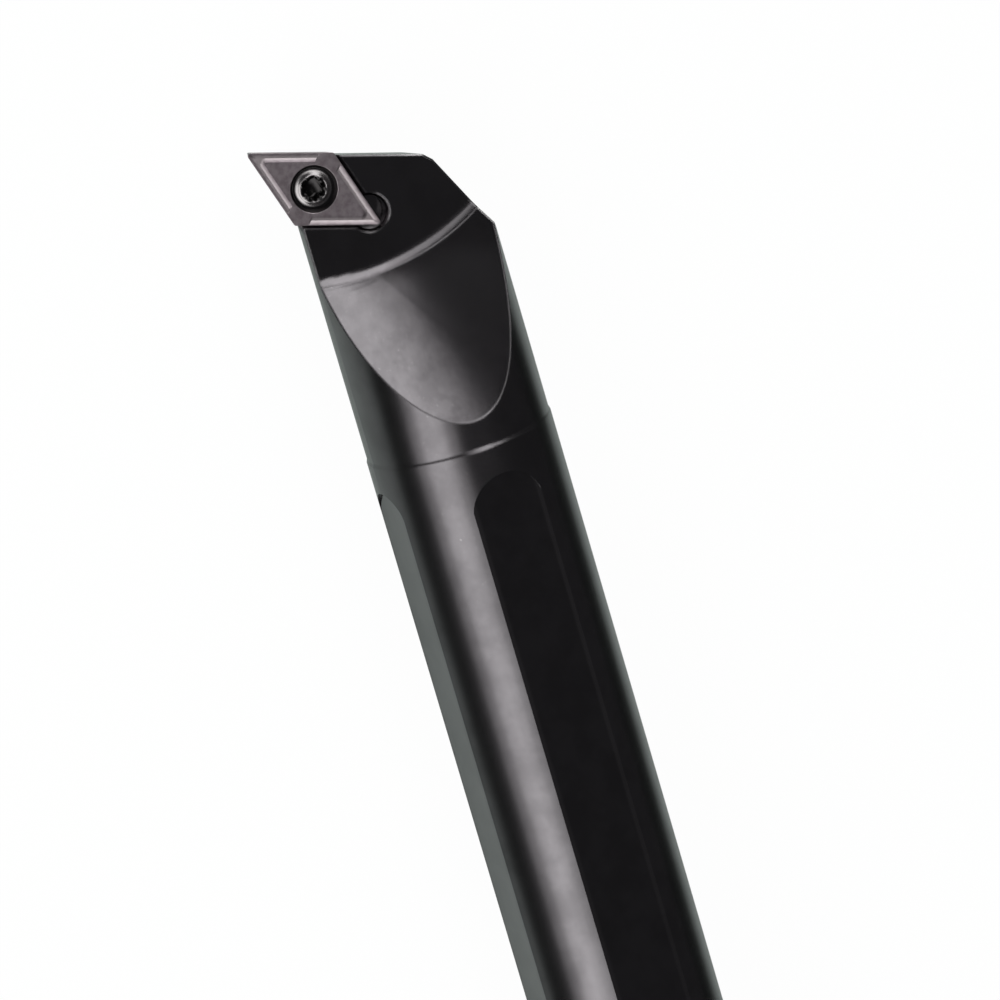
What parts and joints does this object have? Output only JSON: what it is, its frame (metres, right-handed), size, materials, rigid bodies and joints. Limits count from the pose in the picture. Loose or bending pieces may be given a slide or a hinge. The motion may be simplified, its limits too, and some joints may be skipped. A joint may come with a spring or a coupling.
{
  "type": "boring bar",
  "caption": "Round-shank boring bar with clamping flats, an overhanging head with a chip gullet, and a screw-clamped rhombic insert.",
  "frame": {"origin": "centre of the rear end face, on the shank axis", "axes": "+X along the shank axis towards the cutting head, +Y towards the cutting side, +Z the outward normal of the shank's top flat"},
  "size_m": [0.1998, 0.0293, 0.025],
  "materials": {
    "bar_steel": "black oxide over fine turning and milling marks, satin",
    "carbide": "coated sintered carbide, mauve grey, semi-gloss",
    "screw_steel": "blackened steel with a polished rim"
  },
  "bodies": {
    "root": {"bar": "bar_steel", "insert": "carbide", "insert_screw": "screw_steel"}
  },
  "joints": []
}
